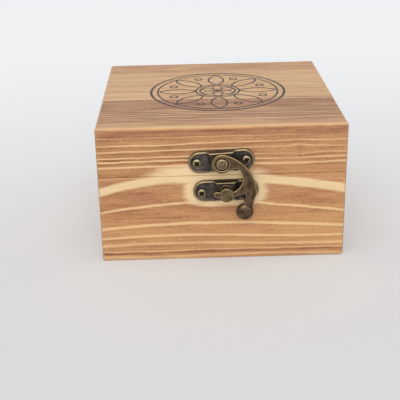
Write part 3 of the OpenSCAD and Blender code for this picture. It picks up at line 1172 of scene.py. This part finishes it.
@dataclass
class StampedPlate:
    """A stamped latch plate: rolled edge, screwed ends and a raised middle."""

    node: str
    body: Body
    at: Point
    tilt: float
    raised: float
    screw_low: float = 0.0
    length: float = 31.8
    width: float = 10.8
    pad: float = 1.8
    bridge: float = 3.2
    bridge_edge: Span = (0.1, 0.95)
    slope: Span = (0.2, 1.6)
    rim: float = 0.8
    rim_ease: float = 0.6
    screw_spacing: float = 23.6
    dish: float = 0.16
    bow: float = 1.3
    ring_radius: float = 2.25
    ring_half: Span = (0.15, 0.55)
    ring_deep: float = 0.22
    corners: int = 64
    side_cuts: int = 53
    insets: tuple[float, ...] = (0.06, 0.08, 0.1, 0.12, 0.14, 0.15, 0.15) + (0.21,) * 20
    spine: float = 0.45
    merge: float = 0.005

    def seat(self, side: int) -> Matrix:
        """Give the place of a screw: -1 for the left end and 1 for the right one."""
        return on_wood(*self.at, tilt=self.tilt) @ moved(
            side * self.screw_spacing / 2, -self.screw_low, self.pad)

    def height(self, x: float, y: float) -> float:
        """Give the height of the stamped face above the wood.

        Args:
            x: Place along the plate from its middle.
            y: Place across the plate from its middle line.

        Returns:
            The height.
        """
        straight = (self.length - self.width) / 2
        inside = self.width / 2 - math.hypot(max(abs(x) - straight, 0.0), y)
        inside = min(max(inside, 0.0), self.width / 2)
        roll = max(self.rim - inside, 0.0)
        level = self.pad - self.rim + math.sqrt(max(self.rim ** 2 - roll ** 2, 0.0))
        level -= self.dish * ease(inside, self.rim, self.rim + self.rim_ease)
        bow = self.bow * (y / (self.width / 2)) ** 2
        foot, rise = self.raised / 2 + self.slope[1], self.raised / 2 - self.slope[0]
        lift = (1.0 - ease(abs(x) - bow, rise, foot)) * ease(inside, *self.bridge_edge)
        level += (self.bridge - self.pad + self.dish) * lift
        for side in (-1, 1):
            apart = math.hypot(x - side * self.screw_spacing / 2, y + self.screw_low)
            level -= self.ring_deep * (1 - ease(abs(apart - self.ring_radius), *self.ring_half))
        return level

    def _blank(self) -> Piece:
        """Cut the flat blank of the plate, with rings of faces that follow its edge.

        Returns:
            The blank, lying flat round the origin.
        """
        deselect()
        bpy.ops.mesh.primitive_circle_add(
            vertices=self.corners, radius=self.width / 2 * MM, fill_type="NOTHING",
            rotation=(0, 0, math.pi / self.corners))
        piece = bpy.context.object
        piece.name = f"{self.node}_stamping"
        settle(piece)
        straight = (self.length - self.width) / 2 * MM
        for vert in piece.data.vertices:
            vert.co.x += math.copysign(straight, vert.co.x)
        with editing(piece, lambda start, end: start.x * end.x < 0):
            bpy.ops.mesh.subdivide(number_cuts=self.side_cuts)
            bpy.ops.mesh.select_all(action="SELECT")
            bpy.ops.mesh.edge_face_add()
            bpy.ops.mesh.select_mode(type="FACE")
            bpy.ops.mesh.select_all(action="SELECT")
            bpy.ops.mesh.extrude_region_move(
                TRANSFORM_OT_translate={"value": (0, 0, (self.pad - self.rim) * MM)})
            for step in self.insets:
                bpy.ops.mesh.inset(thickness=step * MM, depth=0, use_even_offset=True)
            bpy.ops.mesh.delete(type="ONLY_FACE")
        heart = (self.width / 2 - sum(self.insets)) * MM * 1.05
        for vert in piece.data.vertices:
            x, y, z = vert.co
            if (z > 0 and abs(y) < self.spine * MM
                    and math.hypot(max(abs(x) - straight, 0.0), y) < heart):
                vert.co.y = 0.0
                vert.co.x = min(max(x, -straight), straight)
        mend(piece, self.merge * MM)
        return piece

    def build(self, finish: Material) -> None:
        """Make the plate: its blank gets the stamped height at each point of its face.

        Args:
            finish: Its material.
        """
        piece = self._blank()
        wall = (self.pad - self.rim) * MM * 0.9
        for vert in piece.data.vertices:
            if vert.co.z > wall:
                vert.co.z = self.height(vert.co.x / MM, vert.co.y / MM) * MM
        mend(piece)
        dress(seat(piece, on_wood(*self.at, tilt=self.tilt), 50.0), finish, Slot.BRONZE,
              self.body, self.node)


@dataclass
class CrossScrew:
    """A screw with a low domed head and a cross cut, and a pointed shank."""

    name: str
    shank: float = 2.4
    head: float = 4.1
    rise: float = 0.9
    length: float = 8.0
    turn: float = 25.0
    brim: float = 0.16
    fullness: float = 0.55
    dome_steps: int = 12
    steps: int = 48
    cut_reach: float = 0.34
    cut_width: float = 0.23
    cut_floor: float = 0.25
    cut_half: float = 0.5
    cut_round: float = 0.12
    taper: Span = (0.9, 0.6)
    skin: float = 0.12
    # The head round the cross gets this value for its wear and painted highlight.
    edge_wear_and_sheen: float = 0.55

    def _profile(self) -> list[Point]:
        """Give the screw's profile from its point to the top of its head.

        Returns:
            Radius and height of each point.
        """
        head, shank = self.head / 2, self.shank / 2
        dome = [(head * math.cos(angle) ** self.fullness,
                 self.brim + (self.rise - self.brim) * math.sin(angle))
                for angle in (math.pi / 2 * step / self.dome_steps
                              for step in range(1, self.dome_steps))]
        return [(0.0, -self.length), (shank * 0.4, shank - self.length),
                (shank, shank * 2 - self.length), (shank, -0.02), (shank, 0.0),
                (head - 0.1, 0.0), (head - 0.02, 0.06), (head, self.brim), *dome,
                (0.0, self.rise)]

    def _cut(self, piece: Piece, quarter: float) -> None:
        """Cut one bar of the cross into the head, narrower at its floor.

        Args:
            piece: The screw.
            quarter: The bar's turn from the first one, in degrees.
        """
        sizes = (self.head * self.cut_reach, self.head * self.cut_width / 2, self.cut_half)
        cutter = block("cutter", *([side * size * MM for size in sizes] for side in (-1, 1)))
        with editing(cutter, lambda start, end: abs(start.z - end.z) > self.cut_half * MM):
            bpy.ops.mesh.bevel(offset=self.cut_round * MM, segments=3, affect="EDGES")
        for vert in cutter.data.vertices:
            if vert.co.z < 0:
                vert.co.x *= self.taper[0]
                vert.co.y *= self.taper[1]
        settle(cutter, moved(0, 0, self.rise * self.cut_floor + self.cut_half)
               @ Matrix.Rotation(math.radians(self.turn + quarter), 4, "Z"))
        refine(piece, "BOOLEAN", operation="DIFFERENCE", solver="EXACT", object=cutter)
        bpy.data.objects.remove(cutter)

    def _blacken(self, piece: Piece) -> None:
        """Note the floor of the cross as deep, so that its material colours it nearly black.

        Args:
            piece: The screw.
        """
        for vert, wear in zip(piece.data.vertices, piece.data.attributes["wear"].data):
            x, y, z = vert.co / MM
            out = math.hypot(x, y)
            if z > 0 and out < self.head * self.cut_reach * 1.02:
                dome = self.brim + (self.rise - self.brim) * math.sqrt(
                    max(1 - (2 * out / self.head) ** (2 / self.fullness), 0.0))
                wear.value = 0.0 if z < dome - self.skin else self.edge_wear_and_sheen

    def build(self, places: Sequence[Matrix]) -> Piece:
        """Make the screw once and copy it to its places.

        Args:
            places: Where each screw's seat lies, with +Z out of the wood.

        Returns:
            All the screws as one piece.
        """
        piece = lathe(self.name, self._profile(), self.steps)
        mark_wear_and_sheen(piece)
        for quarter in (0, 90):
            self._cut(piece, quarter)
        self._blacken(piece)
        copies = [add(self.name, piece.data.copy()) for _ in places]
        for copy, place in zip(copies, places):
            settle(copy, place)
        bpy.data.objects.remove(piece)
        whole = join(copies, self.name)
        smooth(whole, 30.0)
        return whole


@dataclass
class Latch:
    """The swing-arm latch on the front: two plates, post, rivet, washer and arm."""

    pivot: Point = (-0.4, 52.2)
    latch: StampedPlate = field(default_factory=lambda: StampedPlate(
        "latch_plate", Body.LID, (-0.4, 52.2), 3.0, 9.2))
    catch: StampedPlate = field(default_factory=lambda: StampedPlate(
        "catch_plate", Body.LOWER, (1.7, 37.1), 1.0, 7.0, 0.7))
    steps: int = 64
    washer: float = 0.5
    washer_radius: float = 3.7
    washer_hole: float = 1.55
    washer_cut: float = 0.12
    arm_back: float = 3.7
    arm_thick: float = 2.2
    rivet_foot: tuple[float, ...] = (2.4, 1.4, 2.2, 0.2)
    rivet_neck: float = 1.5
    rivet_head: float = 2.5
    rivet_rise: float = 0.4
    rivet_sunk: float = 0.55
    rivet_round: float = 0.4
    stem_top: Point = (13.7, -14.2)
    stem_end: Point = (12.0, -23.2)
    ridge_out: float = 1.35
    ridge_half: Point = (2.0, 1.25)
    ridge_reach: float = 0.95
    arm_cast: tuple[float, int] = (0.13, 8)
    post_cast: tuple[float, int] = (0.1, 5)

    def screws(self, worn: Material) -> None:
        """Make the four plate screws, each turned its own way as it was driven.

        Args:
            worn: Their finish.
        """
        for name, plate, turns in (("latch", self.latch, (38.0, 22.0)),
                                   ("catch", self.catch, (40.0, 10.0))):
            for end, side, turn in zip(("left", "right"), (-1, 1), turns):
                node = f"{name}_screw_{end}"
                piece = CrossScrew(f"{node}_cross", turn=turn).build([plate.seat(side)])
                dress(piece, worn, Slot.WORN, plate.body, node)

    def rivet(self, worn: Material) -> None:
        """Make the rivet that the arm turns on, with a foot behind the plate.

        Args:
            worn: Its finish.
        """
        front = self.arm_back + self.arm_thick
        top, low = front + self.rivet_rise, front - self.rivet_sunk
        foot = chamfered(*self.rivet_foot)
        flat = self.rivet_head - self.rivet_round
        profile = [(0.0, foot[0][1]), *foot, (self.rivet_neck, foot[-1][1]),
                   (self.rivet_neck, low), (self.rivet_head - 0.15, low),
                   (self.rivet_head - 0.02, low + 0.1), (self.rivet_head, low + 0.3)]
        profile += [(flat + self.rivet_round * math.cos(turn),
                     top - self.rivet_round + self.rivet_round * math.sin(turn))
                    for turn in (math.radians(angle) for angle in range(0, 91, 15))]
        profile += [(flat - 0.3 * step, top + 0.01 * step) for step in range(1, 7)]
        piece = lathe("latch_rivet_turned", profile + [(0.0, top + 0.06)], self.steps)
        dress(seat(piece, on_wood(*self.pivot)), worn, Slot.WORN, Body.LID, "latch_rivet")

    def washer_ring(self, bronze: Material) -> None:
        """Make the washer behind the arm.

        Args:
            bronze: Its finish.
        """
        low, high = self.latch.bridge, self.latch.bridge + self.washer
        profile = [(self.washer_hole, low),
                   *chamfered(self.washer_radius, low, high, self.washer_cut),
                   (self.washer_hole, high), (self.washer_hole, low)]
        piece = lathe("latch_washer_ring", profile, self.steps)
        dress(seat(piece, on_wood(*self.pivot)), bronze, Slot.BRONZE, Body.LID,
              "latch_washer")

    def arm(self, bronze: Material) -> None:
        """Cast the arm, with a rounded back along its stem that runs out on the knob.

        Args:
            bronze: Its finish.
        """
        piece = copy_node("swing_arm", "swing_arm_cast")
        start, end = (Vector((*at, self.arm_back + self.ridge_out))
                      for at in (self.stem_top, self.stem_end))
        run = end - start
        wide, deep = self.ridge_half
        deselect()
        bpy.ops.mesh.primitive_uv_sphere_add(segments=32, ring_count=24, radius=MM)
        ridge = bpy.context.object
        settle(ridge, on_wood(*self.pivot) @ moved(*((start + end) / 2))
               @ Matrix.Rotation(math.atan2(run.y, run.x) - math.pi / 2, 4, "Z")
               @ Matrix.Diagonal((wide, run.length * self.ridge_reach, deep, 1.0)))
        dress(cast(join([piece, ridge], piece.name), *self.arm_cast), bronze,
              Slot.BRONZE, Body.ARM, "swing_arm")

    def build(self, plate: Material, arm: Material, post: Material, worn: Material) -> None:
        """Make the whole latch.

        Args:
            plate: The finish of the plates and the washer.
            arm: The warmer finish of the arm.
            post: The finish of the post.
            worn: The brighter finish of the rivet and the screws.
        """
        self.latch.build(plate)
        self.catch.build(plate)
        self.screws(worn)
        self.rivet(worn)
        self.washer_ring(plate)
        dress(cast(copy_node("catch_post", "catch_post_cast"), *self.post_cast), post,
              Slot.WORN, Body.LOWER, "catch_post")
        self.arm(arm)


@dataclass
class Hinges:
    """The two butt hinges on the back, with their pins and screws."""

    spacing: float = 68.0
    seam: float = 44.6
    screw_out: float = 12.0
    screw_step: float = 5.55
    leaf: float = 1.0
    half_length: float = 10.0
    pin_radius: float = 0.8
    pin_out: float = 1.9
    pin_steps: int = 40
    leaf_cast: tuple[float, int] = (0.14, 3)

    def build(self, bronze: Material, worn: Material) -> None:
        """Make the hinges.

        Args:
            bronze: The finish of the leaves.
            worn: The finish of the pins and the screws.
        """
        halves = (("box", Body.LOWER, -1), ("lid", Body.LID, 1))
        for half, body, _ in halves:
            for side in ("left", "right"):
                node = f"{half}_hinge_leaf_{side}"
                piece = cast(copy_node(node, f"{node}_rolled"), *self.leaf_cast)
                dress(piece, bronze, Slot.BRONZE, body, node)
        self.pin("left", -self.spacing / 2, worn)
        self.pin("right", self.spacing / 2, worn)
        for half, body, way in halves:
            places = [on_wood(x, self.seam + way * self.screw_step, back=True)
                      @ moved(out * self.screw_out / 2, 0, self.leaf)
                      for x in (-self.spacing / 2, self.spacing / 2) for out in (-1, 1)]
            screws = CrossScrew(f"{half}_hinge_screws_cross", shank=2.0, head=3.6, rise=0.6,
                                length=6.0, turn=33.0).build(places)
            dress(screws, worn, Slot.WORN, body, f"{half}_hinge_screws")

    def pin(self, name: str, x: float, worn: Material) -> None:
        """Make one pin with rounded ends.

        Args:
            name: The pin's side in its name.
            x: Its place from the middle of the box.
            worn: Its finish.
        """
        r, half = self.pin_radius, self.half_length
        tip = [(0.0, half), (r - 0.25, half), (r - 0.07, half - 0.07), (r, half - 0.25)]
        profile = [(out, -along) for out, along in tip] + tip[::-1]
        piece = lathe(f"hinge_pin_{name}_rod", profile, self.pin_steps)
        seat(piece, on_wood(x, self.seam, back=True) @ moved(0, 0, self.pin_out)
             @ Matrix.Rotation(math.pi / 2, 4, "Y"))
        dress(piece, worn, Slot.WORN, Body.LOWER, f"hinge_pin_{name}")


@dataclass
class Emblem:
    """Compass-drawn rosette burnt into the lid: rings, petals and small beads.

    The points of its drawing are complex numbers, with 0 at the centre.
    """

    centre: complex = 0.6 + 0.6j
    radius: float = 36.0
    outer_line: float = 1.3
    fine_line: float = 0.95
    inner_rings: tuple[float, ...] = (0.885, 0.32, 0.26)
    petals: int = 8
    petal_from: float = 0.32
    petal_to: float = 0.86
    petal_radius: float = 13.5
    bead_at: float = 0.7
    bead_radius: float = 1.9
    heart_petals: int = 6
    heart_radius: float = 5.4
    heart_line: float = 0.55
    arc_steps: int = 32
    rise: float = 0.05
    thickness: float = 0.1
    layer: float = 0.004
    layers: int = 5
    strokes: list[Stroke] = field(default_factory=list)

    def arc(self, centre: complex, radius: float, turns: Sequence[float], width: float,
            closed: bool = False) -> None:
        """Add an arc drawn with the compass.

        Args:
            centre: Where the compass stands.
            radius: How far it is opened.
            turns: The directions of the arc's points, in radians.
            width: The line's width.
            closed: Whether it is a whole ring.
        """
        points = [centre + cmath.rect(radius, turn) for turn in turns]
        left, right = [], []
        first, last = (points[-1], points[0]) if closed else (points[0], points[-1])
        line = [first, *points, last]
        for before, point, after in zip(line, points, line[2:]):
            side = (after - before) / abs(after - before) * width / 2 * 1j
            left.append(point + side)
            right.append(point - side)
        self.strokes.append((left, right, closed))

    def ring(self, centre: complex, radius: float, width: float) -> None:
        """Add a whole circle, in more steps the larger it is."""
        steps = 24 + int(radius * 4)
        self.arc(centre, radius, [2 * math.pi * i / steps for i in range(steps)], width, True)

    def petal(self, aim: float, near: float, far: float, opening: float,
              width: float) -> None:
        """Add a pointed petal of two arcs.

        Args:
            aim: The direction of the petal, in radians.
            near: Where it starts, from the drawing's centre.
            far: Where it ends.
            opening: How far the compass is opened for its arcs.
            width: The line's width.
        """
        half = (far - near) / 2
        bow = math.asin(half / opening)
        away = math.sqrt(opening ** 2 - half ** 2)
        for hand in (-1, 1):
            start = aim - hand * math.pi / 2 - bow
            self.arc(cmath.rect(1, aim) * complex(near + half, hand * away), opening,
                     [start + 2 * bow * i / self.arc_steps
                      for i in range(self.arc_steps + 1)], width)

    def draw(self) -> None:
        """Draw all the lines of the rosette."""
        self.ring(0, self.radius - self.outer_line / 2, self.outer_line)
        for share in self.inner_rings:
            self.ring(0, self.radius * share, self.fine_line)
        for turn in range(self.petals):
            aim = 2 * math.pi / self.petals * turn
            self.petal(aim, self.radius * self.petal_from, self.radius * self.petal_to,
                       self.petal_radius, self.fine_line)
            self.ring(cmath.rect(self.radius * self.bead_at, aim + math.pi / self.petals),
                      self.bead_radius, self.fine_line)
        for turn in range(self.heart_petals):
            self.petal(2 * math.pi / self.heart_petals * (turn + 0.5), 0.0,
                       self.radius * self.inner_rings[-1], self.heart_radius,
                       self.heart_line)

    def build(self, finish: Material) -> None:
        """Make the drawing as one thin piece on the lid.

        Args:
            finish: Its material.
        """
        self.draw()
        mesh = bmesh.new()
        for index, (left, right, closed) in enumerate(self.strokes):
            level = HEIGHT + self.rise + self.layer * (index % self.layers)
            rows = [[mesh.verts.new(Vector((at.real, at.imag, level)) * MM)
                     for at in (self.centre + point for point in points)]
                    for points in (left, right)]
            count = len(left)
            for i in range(count if closed else count - 1):
                j = (i + 1) % count
                mesh.faces.new((rows[0][i], rows[1][i], rows[1][j], rows[0][j]))
        bmesh.ops.recalc_face_normals(mesh, faces=mesh.faces)
        data = bpy.data.meshes.new("lid_rosette")
        mesh.to_mesh(data)
        mesh.free()
        piece = add("lid_rosette", data)
        refine(piece, "SOLIDIFY", thickness=self.thickness * MM, offset=-1.0)
        dress(piece, finish, Slot.PINE, Body.LID)


@dataclass
class Studio:
    """The floor, the lights and the camera."""

    camera_at: Place = (-17.766, -446.560, 197.654)
    clip: Span = (0.01, 20.0)
    focal_pixels: float = 865.82
    picture_width: float = 400.0
    sensor: float = 36.0
    yaw: float = 1.0022
    pitch: float = 23.208
    roll: float = 1.1614
    floor_half: float = 2500.0
    near_floor: Colour = paint(222, 220, 218)
    far_floor: Colour = paint(241, 243, 245)
    room_light: float = 0.5
    lamp_aim: Place = (0.0, 0.0, 40.0)
    lamps: tuple[tuple[str, Place, float, float], ...] = (
        ("high_lamp", (-100.0, -300.0, 1300.0), 1.3, 6.4),
        ("front_lamp", (-100.0, -1500.0, 750.0), 1.4, 9.4))

    def camera(self) -> None:
        """Set up the camera at the photograph's place."""
        data = bpy.data.cameras.new("camera")
        data.sensor_width = self.sensor
        data.lens = self.focal_pixels / self.picture_width * self.sensor
        data.clip_start, data.clip_end = self.clip
        yaw, pitch, roll = (math.radians(a) for a in (self.yaw, self.pitch, self.roll))
        turned = Matrix.Rotation(-yaw, 3, "Z")
        forward = turned @ Vector((0, math.cos(pitch), -math.sin(pitch)))
        right = turned @ Vector((math.cos(roll), -math.sin(roll) * math.sin(pitch),
                                 -math.sin(roll) * math.cos(pitch)))
        facing = Matrix((right, right.cross(forward), -forward)).transposed().to_4x4()
        camera = add("camera", data)
        camera.matrix_world = moved(*self.camera_at) @ facing
        bpy.context.scene.camera = camera

    def floor(self) -> None:
        """Lay the pale floor."""
        deselect()
        bpy.ops.mesh.primitive_plane_add(size=2 * self.floor_half * MM, location=(0, 0, 0))
        floor = bpy.context.object
        floor.name = "studio_floor"
        settle(floor)
        floor.data.materials.append(
            PaleFloor("pale_floor", self.near_floor, self.far_floor).material())

    def light(self) -> None:
        """Hang the square soft lamps, which look at the box."""
        aim = Vector(self.lamp_aim)
        for name, at, size, power in self.lamps:
            data = bpy.data.lights.new(name, "AREA")
            data.size, data.energy = size, power
            lamp = add(name, data)
            lamp.location = Vector(at) * MM
            lamp.rotation_euler = (aim - Vector(at)).to_track_quat("-Z", "Y").to_euler()

    def room(self) -> None:
        """Make the soft light of the room, which looks like the far floor to the eye."""
        world = bpy.data.worlds.new("soft_room")
        g = Graph(world)
        soft, pale = (g.term("ShaderNodeBackground", {}, {"Color": colour, "Strength": light})
                      for colour, light in ((paint(255, 255, 255), self.room_light),
                                            (self.far_floor, 1.0)))
        both = g.term("ShaderNodeMixShader", {}, {0: g.seen(), 1: soft, 2: pale})
        g.node("ShaderNodeOutputWorld", {}, {"Surface": both})
        bpy.context.scene.world = world

    def build(self) -> None:
        """Set up the whole studio."""
        bpy.context.scene.view_settings.view_transform = "Standard"
        self.room()
        self.camera()
        self.floor()
        self.light()


def main() -> None:
    """Build the box and its studio in order."""
    logging.basicConfig(level=logging.INFO, format="%(name)s: %(message)s")
    Studio().build()
    WoodenCase().build()
    plate = AgedMetal("plate_bronze", paint(60, 55, 52), paint(98, 88, 80),
                      paint(164, 146, 110)).material()
    arm = AgedMetal("arm_bronze", paint(70, 57, 45), paint(109, 90, 69),
                    paint(176, 153, 108)).material()
    worn = AgedMetal("worn_bronze", paint(86, 76, 58), paint(140, 124, 94),
                     paint(186, 168, 128)).material()
    post = AgedMetal("post_bronze", paint(76, 66, 49), paint(126, 109, 80),
                     paint(176, 158, 118)).material()
    Latch().build(plate, arm, post, worn)
    Hinges().build(plate, worn)
    Emblem().build(BurntLine("burnt_line", paint(62, 56, 56), paint(96, 84, 78)).material())


if __name__ == "__main__":
    main()
